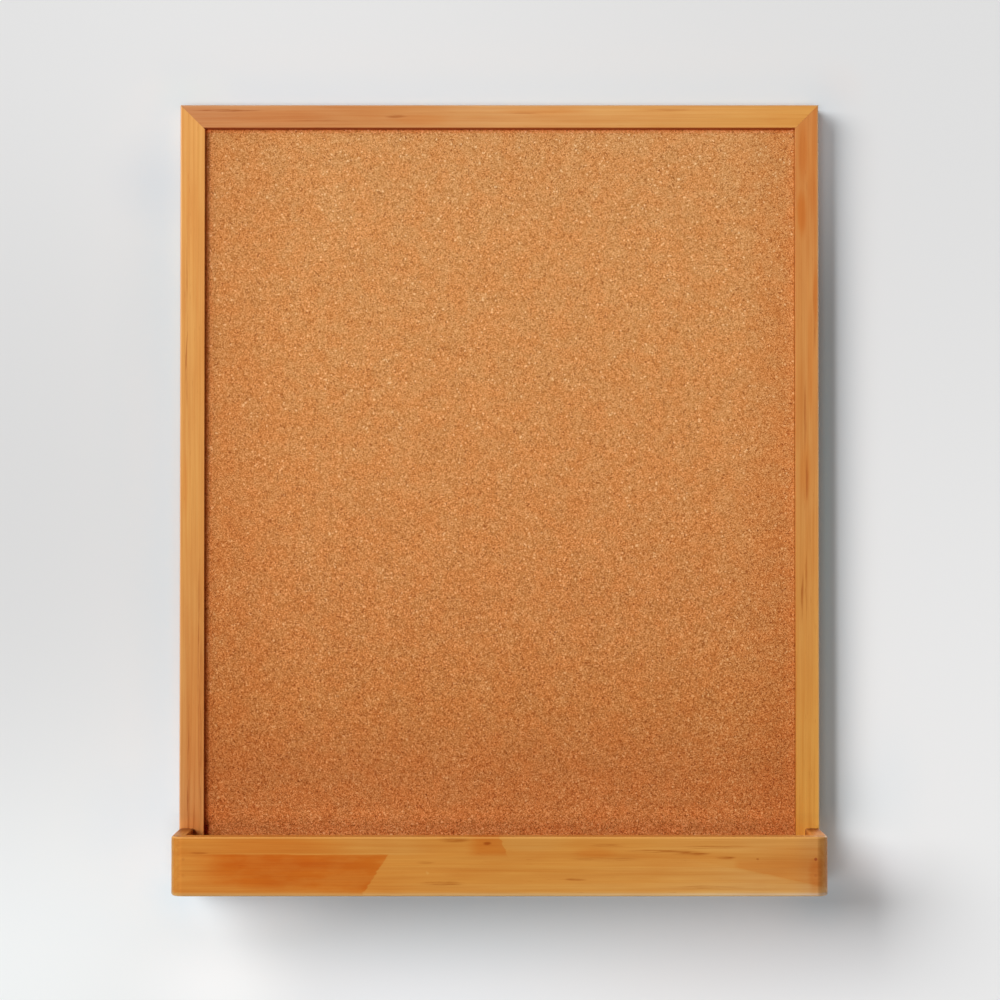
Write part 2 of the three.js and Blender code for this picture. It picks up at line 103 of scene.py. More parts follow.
class Finish:
    """The node tree of a material or of the world. Each method adds nodes and gives the socket
    with the result, and done() gives the material or the world itself."""

    def __init__(self, name, owners=bpy.data.materials, out="OutputMaterial"):
        self.owner = owners.new(name)
        self.owner.use_nodes = True
        self.tree = self.owner.node_tree
        self.tree.nodes.clear()
        self.out = self.tree.nodes.new("ShaderNode" + out)
        self.coordinates = self.tree.nodes.new("ShaderNodeTexCoord").outputs
        self.place, self.normal = self.coordinates["Object"], self.coordinates["Normal"]

    def done(self, shader):
        self.tree.links.new(shader, self.out.inputs["Surface"])
        return self.owner

    def node(self, kind, inputs=None, result=0, **settings):
        made = self.tree.nodes.new("ShaderNode" + kind)
        for key, value in settings.items():
            setattr(made, key, value)
        for key, value in (inputs or {}).items():
            if isinstance(value, bpy.types.NodeSocket):
                self.tree.links.new(value, made.inputs[key])
            else:
                made.inputs[key].default_value = value
        return made.outputs[result]

    def math(self, operation, first, second=0.0):
        return self.node("Math", {0: first, 1: second}, operation=operation)

    def product(self, first, second):
        return self.math("MULTIPLY", first, second)

    def vector(self, operation, first, second=(0.0, 0.0, 0.0), result=0):
        return self.node("VectorMath", {0: first, 1: second}, result, operation=operation)

    def part(self, vector, axis):
        return self.node("SeparateXYZ", {0: vector}, axis)

    def dot(self, first, second):
        return self.vector("DOT_PRODUCT", first, second, "Value")

    def rise(self, value, low, high, floor=0.0, top=1.0):
        """Smoothly from floor to top while the value goes from low to high."""
        inputs = {"Value": value, "From Min": low, "From Max": high, "To Min": floor,
                  "To Max": top}
        return self.node("MapRange", inputs, interpolation_type="SMOOTHSTEP")

    def progress(self, value, start, end):
        """0 where the value is at the start, 1 where it is at the end."""
        return self.node("MapRange", {"Value": value, "From Min": start, "From Max": end})

    def mix(self, share, first, second, blend="MIX"):
        inputs = {0: share, 6: first, 7: second}
        return self.node("Mix", inputs, 2, data_type="RGBA", blend_type=blend)

    def tint(self, share, colour, tone):
        """The colour times a tone, which is three factors, by a share."""
        return self.mix(share, colour, (*tone, 1.0), "MULTIPLY")

    def scaled(self, sizes, offset=0.0):
        """The place in cells of one size or three, moved by an offset in cells."""
        inputs = {"Vector": self.place, "Scale": 1 / (np.ones(3) * sizes),
                  "Location": [offset] * 3}
        return self.node("Mapping", inputs)

    def noise(self, vector, detail=2.0, roughness=0.5, result="Fac"):
        inputs = {"Vector": vector, "Scale": 1.0, "Detail": detail, "Roughness": roughness}
        return self.node("TexNoise", inputs, result)

    def spot(self, place, x, z, half_length, half_height, share, edge=0.7):
        """A round area of a front face, full within 1 - edge of its reach and soft outside."""
        sizes = {"Vector": place, "Scale": (1 / half_length, 0.0, 1 / half_height),
                 "Location": (-x / half_length, 0.0, -z / half_height)}
        ball = self.node("TexGradient", {"Vector": self.node("Mapping", sizes)}, 1,
                         gradient_type="SPHERICAL")
        return self.rise(ball, 0.0, edge, 0.0, share)

    def side(self, place, x, z, turn_x, turn_z, soft):
        """1 beyond a straight line through a point, on the side that the turn points to."""
        length = math.hypot(turn_x, turn_z)
        turn = (turn_x / length, 0.0, turn_z / length)
        start = x * turn[0] + z * turn[2]
        far = self.dot(place, turn)
        return self.rise(far, start - soft / 2, start + soft / 2)

    def beyond(self, share, place, *lines):
        """A share, only beyond every line. A line is given as side() takes it."""
        for line in lines:
            share = self.product(self.side(place, *line), share)
        return share

    def ramp(self, value, *stops):
        """A colour by value, from pairs of a share and either a hex code or a tone."""
        made = self.tree.nodes.new("ShaderNodeValToRGB")
        self.tree.links.new(value, made.inputs[0])
        elements = made.color_ramp.elements
        while len(elements) < len(stops):
            elements.new(0.5)
        for element, (share, colour) in zip(elements, stops):
            element.position = share
            element.color = linear(colour) if isinstance(colour, int) else (*colour, 1.0)
        return made.outputs[0]

    def bump(self, height, depth, strength):
        return self.node("Bump", {"Height": height, "Distance": depth, "Strength": strength})

    def surface(self, inputs):
        return self.done(self.node("BsdfPrincipled", inputs))


wall_half = 5.0
wall_gap = 0.0002
wall_matt = 0.5
wall_paint = linear(0xE5E5E5)
# Areas of painted light and shade, in another shade of paint: the middle's x and z, the reaches
# along them, and the paint's colour
wall_painted_light_areas = [
    (-0.37, -0.62, 0.36, 0.36, 0xF2F4F4),
    (0.36, -0.55, 0.55, 0.55, 0xEEEEEE),
    (-0.16, 0.14, 0.4, 0.4, 0xEAEAEA),
    (-0.4, -0.28, 0.34, 0.34, 0xE0E0E0),
    (-0.23, -0.22, 0.07, 0.3, 0xDADEE0),
    (0.2, -0.6, 0.22, 0.1, 0xE5E5E6),
    (-0.06, -0.625, 0.22, 0.07, 0xEBEDEF),
    (-0.175, -0.568, 0.08, 0.03, 0xF8F8F8),
    (-0.205, -0.63, 0.085, 0.055, 0xF5F6F6),
    (0.2737, -0.5392, 0.045, 0.032, 0xF5F5F6),
    (0.235, -0.5675, 0.06, 0.028, 0xDEDFE0),
]
# Areas of painted shade and light, where the paint is multiplied by a tone, given in the same way
wall_painted_shade_tints = [
    (-0.02, -0.573, 0.36, 0.055, (0.925, 0.975, 1.0)),
    (-0.2585, -0.5095, 0.065, 0.065, (0.95, 0.977, 1.0)),
    (-0.2418, -0.0432, 0.06, 0.05, (0.935, 0.955, 0.98)),
    (-0.2512, -0.2312, 0.03, 0.14, (1.036, 1.012, 1.003)),
    (-0.2324, -0.3252, 0.008, 0.25, (1.01, 0.969, 0.952)),
    (0.2361, -0.27, 0.0075, 0.25, (0.92, 0.995, 1.005)),
    (0.2535, -0.4987, 0.035, 0.045, (0.94, 0.957, 0.965)),
    (0.2773, -0.4842, 0.04, 0.07, (0.962, 0.981, 0.993)),
    (-0.2237, 0.0198, 0.045, 0.022, (1.045, 1.03, 1.0)),
    (-0.248, 0.013, 0.03, 0.03, (1.02, 1.005, 1.0)),
    (0.2433, 0.0205, 0.03, 0.03, (1.015, 0.985, 0.97)),
]
# The painted shadow at the board's right: the lines that it lies beyond, and its bands, each
# with the x where it ends, how softly, and its tone
painted_shadow_lines = [
    (0, -0.075, 0, -1, 0.17),
    (0, -0.503, 0, 1, 0.02),
    (cad_box[1].x - 0.004, 0, 1, 0, 0.004),
]
painted_shadow_bands = [
    (0.2433, 0.0065, (0.725, 0.725, 0.715)),
    (0.257, 0.026, (0.92, 0.92, 0.92)),
]
# A cooler tone painted close round the board, against the warm light that the wood throws there
wall_painted_cool_tone = (0.895, 0.965, 1.01)
wall_near_reach = 0.045
wall_near_power = 1.5


def wall_material():
    """Paint with faint areas of another shade, and areas and bands where it is multiplied by a
    tone, all painted light and shade, the bands a painted shadow at the board's right. Close
    round the board it is painted a little cooler, against the warm light that the wood throws
    there, by (1 - rise) to the power 1.5, where rise grows with the distance from the board.
    That distance is the length of max(|p - middle| - half size, 0). From behind, the wall is
    clear."""
    wall = Finish("wall_paint")
    colour = wall_paint
    for *area, code in wall_painted_light_areas:
        colour = wall.mix(wall.spot(wall.place, *area, 1.0, 1.0), colour, linear(code))
    for *area, tone in wall_painted_shade_tints:
        colour = wall.tint(wall.spot(wall.place, *area, 1.0, 1.0), colour, tone)
    beside = wall.beyond(1.0, wall.place, *painted_shadow_lines)
    for x, soft, tone in painted_shadow_bands:
        share = wall.beyond(beside, wall.place, (x, 0, -1, 0, soft))
        colour = wall.tint(share, colour, tone)
    low, high = cad_box
    away = wall.vector("ABSOLUTE", wall.vector("SUBTRACT", wall.place, (low + high) / 2))
    away = wall.vector("MAXIMUM", wall.vector("SUBTRACT", away, (high - low) / 2))
    away = wall.vector("LENGTH", away, result="Value")
    near = wall.math("SUBTRACT", 1.0, wall.rise(away, 0.0, wall_near_reach))
    colour = wall.tint(wall.math("POWER", near, wall_near_power), colour, wall_painted_cool_tone)
    paint = wall.node("BsdfDiffuse", {"Color": colour, "Roughness": wall_matt})
    clear = wall.node("BsdfTransparent")
    behind = wall.node("NewGeometry", result="Backfacing")
    return wall.done(wall.node("MixShader", {0: behind, 1: paint, 2: clear}))


wall_mesh = bpy.data.meshes.new("wall")
wall_corners = wall_half * np.array([[-1, 0, -1], [1, 0, -1], [1, 0, 1], [-1, 0, 1]])
wall_mesh.from_pydata((wall_corners + [0, wall_gap, 0]).tolist(), [], [[0, 1, 2, 3]])
wall_mesh.materials.append(wall_material())
wall = placed("wall", wall_mesh)
wall.visible_shadow = False


# The light
# A very broad soft lamp from the upper left, a smaller one straight in front, a weak fill from
# all round, stronger from the lower left, and a lamp for the board's back behind the wall.

fill_strength = 0.114
fill_lean = (-1.5, 0.0, -1.0)
backdrop_strength = 0.8
to_the_wall, to_the_front = math.pi / 2, -math.pi / 2


def soft_lamp(name, turn, middle, size, power):
    """A flat lamp parallel to the wall, turned about X to shine to the wall or to the front."""
    data = bpy.data.lights.new(name, "AREA")
    data.shape = "RECTANGLE"
    data.size, data.size_y = size
    data.energy = power
    lamp = placed(name, data)
    lamp.location = middle
    lamp.rotation_euler = (turn, 0, 0)
    lamp.visible_camera = False
    return lamp


soft_lamp("key_lamp", to_the_wall, middle=(-12.54, -8.0, 5.48), size=(14.43, 8.82), power=3947.0)
front_lamp = soft_lamp("front_lamp", to_the_wall, middle=(-0.564, -6.0, -1.298),
                       size=(3.588, 1.23), power=131.3)
front_lamp.visible_glossy = False
soft_lamp("back_lamp", to_the_front, middle=(2.5, 4.0, 1.5), size=(3.0, 3.0), power=160.0)


def world_light():
    """The fill's strength in a direction is fill_strength times 1 plus the direction's dot
    product with the lean, and never under zero. The camera, reflections and see-through
    surfaces see a plain pale backdrop."""
    studio = Finish("studio", bpy.data.worlds, "OutputWorld")
    lean = studio.dot(studio.coordinates["Generated"], fill_lean)
    most = float(np.linalg.norm(fill_lean))
    fill = studio.node("MapRange", {"Value": lean, "From Min": -1.0, "From Max": most,
                                    "To Max": fill_strength * (1 + most)})
    seen = studio.node("LightPath", result="Is Camera Ray")
    for kind in ("Is Glossy Ray", "Is Transmission Ray"):
        seen = studio.math("MAXIMUM", seen, studio.node("LightPath", result=kind))
    strength = studio.node("Mix", {"Factor": seen, "A": fill, "B": backdrop_strength})
    light = studio.node("Background", {"Color": linear(0xFFFFFF), "Strength": strength})
    bpy.context.scene.world = studio.done(light)


world_light()


# The frame
# Four lengths of pine moulding, honey-stained under a satin coat, mitred and glued. The
# section is an L, whose lip covers the cork's edge, and its long edges are sanded round.

stile_low, stile_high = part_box("left_stile")
cork_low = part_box("cork_sheet")[0]
board_left = stile_low.x
board_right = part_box("right_stile")[1].x
board_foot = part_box("bottom_rail")[0].z
board_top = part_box("top_rail")[1].z
across_board, up_board = (board_left, board_right), (board_foot, board_top)
middle_z = (board_top + board_foot) / 2
frame_front = stile_low.y
frame_rear = stile_high.y
moulding_width = stile_high.x - stile_low.x
moulding_depth = frame_rear - frame_front
panel_play = 0.0005
rim_width = cork_low.x - stile_low.x - panel_play
lip_depth = cork_low.y - frame_front
left_lip_width = 0.01762
outer_ease = 0.0012
inner_ease = 0.0004
crisp_ease = 0.0002
mitre_gap = 0.0001
arc_steps = 8
moulding_steps = 15
weld_reach = 1e-7
sharp_turn = math.radians(35)
X, Y, Z = np.eye(3)


def rounded(corners, radii):
    """An outline whose right-angled corners are quarter circles, and how round each point is.
    From the corner, a point goes radius * (1 - sin t) back along the side that it came by and
    radius * (1 - cos t) ahead along the next one. Its roundness is sin 2t: 0 where the arc
    meets a flat side, 1 halfway round."""
    corners = np.asarray(corners, float)[:, None, :]
    radii = np.asarray(radii, float)[:, None, None]
    back = np.roll(corners, 1, axis=0) - corners
    ahead = np.roll(corners, -1, axis=0) - corners
    back /= np.linalg.norm(back, axis=-1, keepdims=True)
    ahead /= np.linalg.norm(ahead, axis=-1, keepdims=True)
    t = np.linspace(0, np.pi / 2, arc_steps + 1)[None, :, None]
    points = corners + radii * (back * (1 - np.sin(t)) + ahead * (1 - np.cos(t)))
    roundness = np.sin(2 * t) + 0 * radii
    return points.reshape(-1, 2), roundness.ravel()


def piece_from_grid(name, grid, material, roundness=0.0):
    """A closed piece from rows of points. Each row is a closed loop, the walls join each row
    to the next, and a flat cap closes the first and the last. Points that fall together, as
    on an axis, become one."""
    rows, columns = grid.shape[:2]
    index = np.arange(rows * columns).reshape(rows, columns)
    ahead = np.roll(index, -1, axis=1)
    walls = np.stack([index[:-1], ahead[:-1], ahead[1:], index[1:]], axis=-1).reshape(-1, 4)
    mesh = bpy.data.meshes.new(name)
    caps = [index[0].tolist(), index[-1].tolist()]
    mesh.from_pydata(grid.reshape(-1, 3).tolist(), [], walls.tolist() + caps)
    worn = mesh.attributes.new("roundness", "FLOAT", "POINT")
    worn.data.foreach_set("value", np.broadcast_to(roundness, (rows, columns)).ravel())
    welded = bmesh.new()
    welded.from_mesh(mesh)
    bmesh.ops.remove_doubles(welded, verts=welded.verts, dist=weld_reach)
    bmesh.ops.recalc_face_normals(welded, faces=welded.faces)
    welded.to_mesh(mesh)
    welded.free()
    mesh.shade_smooth()
    mesh.set_sharp_from_angle(angle=sharp_turn)
    mesh.materials.append(material)
    piece = placed(name, mesh)
    piece.modifiers.new("flat_sides", "WEIGHTED_NORMAL").keep_sharp = True
    return piece


# The growth rings: how many in a metre, how far they wander, the wander's cells, and how much
# a place along the grain counts in the distance from the pith. Then the values of a ring
# between which its late, darker wood comes and goes.
rings_per_metre = 420.0
ring_wander = 3.2
wander_cells = (0.35, 0.03)
pith_taper = 0.012
late_comes, late_goes = (0.35, 0.92), (1.0, 0.93)
late_share, late_tone = 0.35, (0.93, 0.8, 0.62)
# The figure's layers: cells along and across the grain and their offset, the noise's detail
# and roughness, the two noise values and the shares at them, and the layer's tone
figure_layers = [
    ("blotch", (0.07, 0.016, 11.3), 2.0, 0.5, (0.42, 0.72, 0.0, 0.55), (0.93, 0.8, 0.66)),
    ("cloud", (0.045, 0.009, 27.1), 2.0, 0.5, (0.35, 0.65, 0.0, 0.5), (1.05, 1.12, 1.15)),
    ("streak", (0.16, 0.0032, 7.7), 3.0, 0.55, (0.3, 0.68, 0.65, 0.0), (0.88, 0.78, 0.66)),
    ("fibre", (0.05, 0.0007, 3.1), 4.0, 0.62, (0.3, 0.7, 0.4, 0.0), (0.84, 0.74, 0.62)),
    ("dash", (0.011, 0.0006, 17.9), 1.0, 0.5, (0.7, 0.8, 0.0, 0.5), (0.7, 0.52, 0.36)),
]
faces_the_end = (0.45, 0.95)
end_grain_tone = (0.72, 0.52, 0.34)
fibre_relief, late_relief = 0.7, 0.3
pine_bump = (0.00012, 0.5)
pine_roughness = (0.3, 0.7, 0.46, 0.38)
pine_specular, pine_coat, coat_roughness = 0.25, 0.1, 0.25


def pine(name, axis, span, tones, pith, shift, details=None, end_stain=0.8, wear=0.25,
         wear_and_highlight_tone=linear(0xE0A860), gloss=1.0):
    """Stained pine with its grain along one axis. The rings are the distance from the pith's
    line plus a slow wander, over the ring's width. The figure's layers lie along the grain,
    tones is the colour from one end of the span to the other, shift and details make each
    board differ, end grain takes the stain in its own way, and the sanded edges are paler,
    as wear and as painted highlight."""
    wood = Finish(name)

    def along(length, width, offset=0.0):
        sizes = [width] * 3
        sizes[axis] = length
        return wood.scaled(sizes, shift + offset)

    counts = [1.0, 1.0, 1.0]
    counts[axis] = pith_taper
    place = wood.vector("ADD", wood.place, [-p for p in pith])
    radius = wood.vector("LENGTH", wood.vector("MULTIPLY", place, counts), result="Value")
    wander = wood.product(wood.noise(along(*wander_cells)), ring_wander)
    year = wood.math("ADD", wood.product(radius, rings_per_metre), wander)
    year = wood.math("FRACT", year)
    late = wood.product(wood.rise(year, *late_comes), wood.rise(year, *late_goes))

    colour = wood.ramp(wood.progress(wood.part(wood.place, axis), *span), *tones)
    colour = wood.tint(wood.product(late, late_share), colour, late_tone)
    figure = {}
    for layer, cells, detail, roughness, shares, tone in figure_layers:
        figure[layer] = wood.noise(along(*cells), detail, roughness)
        colour = wood.tint(wood.rise(figure[layer], *shares), colour, tone)
    if details:
        colour = details(wood, colour, along)
    end_grain = wood.math("ABSOLUTE", wood.part(wood.normal, axis))
    end_grain = wood.rise(end_grain, *faces_the_end, 0.0, end_stain)
    colour = wood.tint(end_grain, colour, end_grain_tone)
    worn = wood.node("Attribute", result="Fac", attribute_name="roundness")
    colour = wood.mix(wood.product(worn, wear), colour, wear_and_highlight_tone)

    relief = wood.math("ADD", wood.product(figure["fibre"], fibre_relief),
                       wood.product(late, late_relief))
    return wood.surface({
        "Base Color": colour,
        "Roughness": wood.rise(figure["fibre"], *pine_roughness),
        "Specular IOR Level": pine_specular * gloss,
        "Normal": wood.bump(relief, *pine_bump),
        "Coat Weight": pine_coat * gloss,
        "Coat Roughness": coat_roughness,
    })


# Cells as in the figure's layers, and the detail and roughness of these finer noises
ripple_cells, grain_cells = (0.03, 0.0025, 5.3), (0.025, 0.0007, 8.9)
grain_shares = (0.42, 0.6, 0.15, 1.0)
fine_detail = (3.0, 0.6)


def wavering(wood, along, axis, reach_across=0.0025, reach_along=0.012):
    """The place, moved a little to and fro with the fibres, and most of all along them."""
    reach = [reach_across, 0.0, reach_across]
    reach[axis] = reach_along
    ripple = wood.noise(along(*ripple_cells), *fine_detail, "Color")
    ripple = wood.vector("SUBTRACT", ripple, (0.5, 0.5, 0.5))
    ripple = wood.vector("MULTIPLY", ripple, reach)
    return wood.vector("ADD", wood.place, ripple)


def fibrous_marks(wood, colour, along, place, marks, tone):
    """Dark streaks, broken up by the fibres."""
    grain = wood.rise(wood.noise(along(*grain_cells), *fine_detail), *grain_shares)
    for mark in marks:
        colour = wood.tint(wood.product(wood.spot(place, *mark), grain), colour, tone)
    return colour


# Painted light on the stiles' front face just above the tray, where the tray shades them
painted_light_foot = (0, -0.505, 0, -1, 0.011)
painted_light_foot_tone = (1.45, 1.45, 1.45)
mark_brown = (0.62, 0.4, 0.2)
mark_orange = (0.92, 0.66, 0.36)
# The tone of painted highlights
painted_highlight_tone = (1.12, 1.22, 1.25)
moulding_front = (-0.3, -0.7)
lip_inner_face = (0.15, 0.55)
moulding_wear_and_highlight = 0.5


def moulding(name, outer, inward, direction, tones, pith, shift, lip_ease, lip_stain_and_shade, streaks,
             patches, lights=(), lip_width=moulding_width, wear_and_highlight_tone=linear(0xC49A74)):
    """A mitred length. The section is carried along the grain, and a point that lies u in from
    the outer edge ends u short of the board's corner, which cuts the ends at 45 degrees. The
    lip's inner face, which points inward, is darker, as gathered stain and as painted shade.
    The front face has painted light at the stiles' foot, and the lights are painted highlights."""
    def marked(wood, colour, along):
        place = wavering(wood, along, axis)
        for marks, tone in ((patches, mark_orange), (lights, painted_highlight_tone)):
            for mark in marks:
                colour = wood.tint(wood.spot(place, *mark), colour, tone)
        colour = fibrous_marks(wood, colour, along, place, streaks, mark_brown)
        forward = wood.rise(wood.part(wood.normal, 1), *moulding_front)
        colour = wood.tint(wood.beyond(forward, wood.place, painted_light_foot), colour, painted_light_foot_tone)
        stained = wood.rise(wood.dot(wood.normal, inward), *lip_inner_face)
        return wood.tint(stained, colour, lip_stain_and_shade)

    axis = int(abs(direction).argmax())
    span = across_board if axis == 0 else up_board
    material = pine("pine_" + name, axis, span, tones, pith, shift, marked, wear=moulding_wear_and_highlight,
                    wear_and_highlight_tone=wear_and_highlight_tone)
    section, roundness = rounded(
        [(0, 0), (lip_width, 0), (lip_width, lip_depth),
         (rim_width, lip_depth), (rim_width, moulding_depth), (0, moulding_depth)],
        [outer_ease, lip_ease, crisp_ease, crisp_ease, inner_ease, outer_ease])
    roundness *= np.repeat([1, 0, 0, 0, 0, 1], arc_steps + 1)
    u, v = section.T[:, None, :, None]
    cut = np.minimum(u, moulding_width) + mitre_gap / 2
    reach = np.linspace(-1, 1, moulding_steps)[:, None, None] * ((span[1] - span[0]) / 2 - cut)
    grid = outer + u * inward + v * Y + reach * direction
    member = piece_from_grid(name, grid, material, roundness)
    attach(member, "root")
    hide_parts(name)


top_tones = [(0.0, 0xCC8B59), (0.3, 0xD29157), (0.5, 0xDCA164),
             (1.0, 0xDE9F50)]
left_tones = [(0.0, 0xC58850), (0.45, 0xD7974E), (1.0, 0xE6A65B)]
right_tones = [(0.0, 0xCE913B), (0.5, 0xD0904C), (1.0, 0xD28A49)]

# Marks in the wood: the middle's x and z, half the length and height along them, and the share
rail_streaks = [
    (-0.196, 0.0038, 0.034, 0.001, 1.0),
    (-0.075, -0.0005, 0.01, 0.0016, 0.7),
    (-0.13, -0.004, 0.03, 0.0012, 0.5),
    (0.02, 0.002, 0.04, 0.001, 0.5),
    (0.12, 0.004, 0.03, 0.001, 0.4),
]
rail_patches = [
    (-0.16, -0.001, 0.05, 0.008, 0.35),
    (-0.055, -0.003, 0.03, 0.006, 0.4),
    (0.03, 0.003, 0.04, 0.004, 0.35),
]
left_streaks = [
    (-0.2238, -0.135, 0.0008, 0.085, 0.6),
    (-0.2238, -0.185, 0.0011, 0.035, 0.7),
    (-0.2222, -0.48, 0.0011, 0.07, 0.9),
    (-0.218, -0.5, 0.001, 0.05, 0.6),
    (-0.215, -0.36, 0.0012, 0.06, 0.5),
    (-0.2137, -0.43, 0.0024, 0.12, 0.6),
]
left_patches = [
    (-0.2175, -0.44, 0.01, 0.09, 0.45),
    (-0.2175, -0.52, 0.012, 0.04, 0.4),
    (-0.225, -0.265, 0.004, 0.03, 0.35),
]
right_streaks = [
    (0.2185, -0.21, 0.0012, 0.04, 0.6),
    (0.22, -0.262, 0.0016, 0.025, 0.7),
    (0.2165, -0.345, 0.002, 0.022, 0.9),
    (0.2195, -0.335, 0.001, 0.03, 0.6),
    (0.2255, -0.145, 0.0012, 0.03, 0.6),
]
right_patches = [
    (0.2175, -0.025, 0.0045, 0.03, 0.6),
    (0.2165, -0.07, 0.005, 0.022, 0.8),
    (0.224, -0.04, 0.004, 0.04, 0.4),
    (0.2265, -0.13, 0.003, 0.03, 0.6),
    (0.219, -0.255, 0.006, 0.03, 0.5),
    (0.2228, -0.1755, 0.003, 0.06, 0.5),
]
# A painted highlight along the right stile's outer edge
right_lights = [(0.2286, -0.4, 0.0055, 0.2, 1.0)]

# The tone after the lip's ease darkens the lip's inner face, as stain and as painted shade
moulding("top_rail", (0, frame_front, board_top), -Z, X, top_tones,
         (0, 0.01, -0.03), 1.7, outer_ease, (0.55, 0.22, 0.06), rail_streaks, rail_patches)
moulding("bottom_rail", (0, frame_front, board_foot), Z, X, top_tones,
         (0, 0.02, -0.57), 4.9, inner_ease, (0.6, 0.38, 0.22), [], [])
moulding("left_stile", (board_left, frame_front, middle_z), X, Z, left_tones,
         (-0.25, 0.01, 0), 23.3, inner_ease, (1.0, 0.85, 0.7), left_streaks, left_patches,
         lip_width=left_lip_width)
# The right stile's pale worn tone is also a painted highlight on its outer edge
moulding("right_stile", (board_right, frame_front, middle_z), -X, Z, right_tones,
         (0.2, 0.02, 0), 31.1, inner_ease, (0.75, 0.58, 0.36), right_streaks, right_patches,
         right_lights, wear_and_highlight_tone=linear(0xF6CF9E))


# The mitre nails
# Zinc-plated V nails of bent sheet, two across each mitre, pressed in from behind until they
# are all but flush.

vee_span = 0.0032
vee_reach = 0.003
vee_sheet = 0.0005
vee_depth = 0.008
vee_bend = 0.12
vee_proud = 0.00008
vee_steps = 33
vee_rows = 9

blotch_size, blotch_detail, blotch_tone = 0.0022, 3.0, (0.75, 0.75, 0.78)
scratch_cells = [0.004, 0.0003, 0.0003]
scratch_bump = (0.00003, 0.3)


def plated(name, colour, roughness):
    """Plated steel: small blotches and fine scratches in the plating's gloss."""
    metal = Finish(name)
    blotch = metal.noise(metal.scaled(blotch_size), blotch_detail)
    scratch = metal.noise(metal.scaled(scratch_cells))
    return metal.surface({
        "Base Color": metal.tint(blotch, colour, blotch_tone),
        "Metallic": 1.0,
        "Roughness": metal.rise(blotch, 0.3, 0.7, roughness, roughness + 0.15),
        "Normal": metal.bump(scratch, *scratch_bump),
    })


def named(start):
    return [name for name in nodes if name.startswith(start)]


def mitre_nail(name):
    """A bent strip. At a share s of its span, its middle line lies reach * (sqrt(s * s + b * b)
    - b) behind the bend, b being the bend's roundness, and the strip is half a sheet to either
    side of that line, along its normal. It is turned so that the bend points to the corner."""
    s = np.linspace(-1, 1, vee_steps)
    across = vee_span * s
    back = -vee_reach * (np.hypot(s, vee_bend) - vee_bend)
    slope = np.stack([np.gradient(across), np.gradient(back)])
    slope *= vee_sheet / 2 / np.linalg.norm(slope, axis=0)
    across = np.concatenate([across - slope[1], (across + slope[1])[::-1]])
    back = np.concatenate([back + slope[0], (back - slope[0])[::-1]])
    low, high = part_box(name)
    middle = (low + high) / 2
    corner = np.array([np.sign(middle.x), np.sign(middle.z - middle_z)]) / math.sqrt(2)
    x = back * corner[0] + across * corner[1]
    z = back * corner[1] - across * corner[0]
    x += middle.x - (x.max() + x.min()) / 2
    z += middle.z - (z.max() + z.min()) / 2
    rear = frame_rear + vee_proud
    y = np.linspace(rear - vee_depth, rear, vee_rows)[:, None]
    grid = np.stack([x + 0 * y, 0 * x + y, z + 0 * y], axis=-1)
    nail = piece_from_grid(name, grid, zinc_plate)
    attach(nail, "root")
    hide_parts(name)


zinc_plate = plated("zinc_plate", (0.66, 0.67, 0.69, 1), 0.3)
for name in named("mitre_nail"):
    mitre_nail(name)


# The cork
# A sheet of fine granules of ground cork, pressed and bound, and glued to the soft core.

# The shade of a granule, from the darkest to the palest
cork_tones = [
    (0.08, 0x7E4216),
    (0.305, 0xB06E38),
    (0.5, 0xCA8B50),
    (0.675, 0xDDA36B),
    (0.86, 0xEEBE8B),
]
# Painted shade by height: the sheet's tone from the top rail down to the tray, darker and
# warmer downwards and painted lighter again at the very foot
cork_painted_shade_by_height = [
    (0.00, (1.02, 1.04, 1.01)),
    (0.17, (1.04, 1.03, 0.97)),
    (0.32, (1.02, 0.99, 0.91)),
    (0.46, (1.01, 0.94, 0.84)),
    (0.57, (0.98, 0.88, 0.76)),
    (0.66, (0.94, 0.82, 0.69)),
    (0.75, (0.9, 0.76, 0.61)),
    (0.82, (0.86, 0.7, 0.53)),
    (0.92, (0.78, 0.59, 0.44)),
    (0.97, (0.8, 0.6, 0.45)),
    (1.00, (1.08, 0.81, 0.61)),
]
lip_left, lip_right = board_left + left_lip_width, board_right - moulding_width
lip_top = board_top - moulding_width
cork_visible_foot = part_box("tray_front")[1].z
# Tones that grow across the sheet (0) or up it (2) from one place to another: the two broad
# sides, then the rims beside the lips, darker as painted shade at the left and the top and as
# a dark joint at the right, and the strips next to them, painted paler as light at the left
# and the top and a little darker at the right
cork_side_tone = (0.93, 0.85, 0.78)
cork_rim_shade_and_light_tones = [
    (0, lip_left + 0.085, lip_left, cork_side_tone),
    (0, lip_right - 0.05, lip_right, cork_side_tone),
    (0, lip_left + 0.0032, lip_left, (0.52, 0.28, 0.12)),
    (0, lip_left + 0.0068, lip_left + 0.003, (1.32, 1.24, 1.25)),
    (2, lip_top - 0.0008, lip_top, (0.7, 0.28, 0.12)),
    (2, lip_top - 0.0036, lip_top - 0.0012, (1.35, 1.1, 1.0)),
    (0, lip_right - 0.0007, lip_right, (0.55, 0.42, 0.15)),
    (0, lip_right - 0.003, lip_right - 0.001, (0.95, 0.98, 0.985)),
]
warp_size, warp_reach = 0.001, 0.4
coarse_size, coarse_share = 0.0008, 0.32
fine_size, fine_share = 0.00055, 0.42
speck_size, speck_share, speck_roughness = 0.0005, 0.28, 0.6
cork_contrast = (0.4, 0.85, 0.9, 1.15)
odd_size = 0.0011
bark_shares, bark_tone = (0.957, 0.967, 0.0, 0.7), (0.55, 0.36, 0.24)
pale_shares, pale_tone = (0.016, 0.01, 0.0, 0.7), linear(0xF6D0A0)
cloud_size, cloud_detail = 0.05, 3.0
cloud_shares, cloud_tone = (0.35, 0.65, 0.2, 0.0), (0.93, 0.9, 0.86)
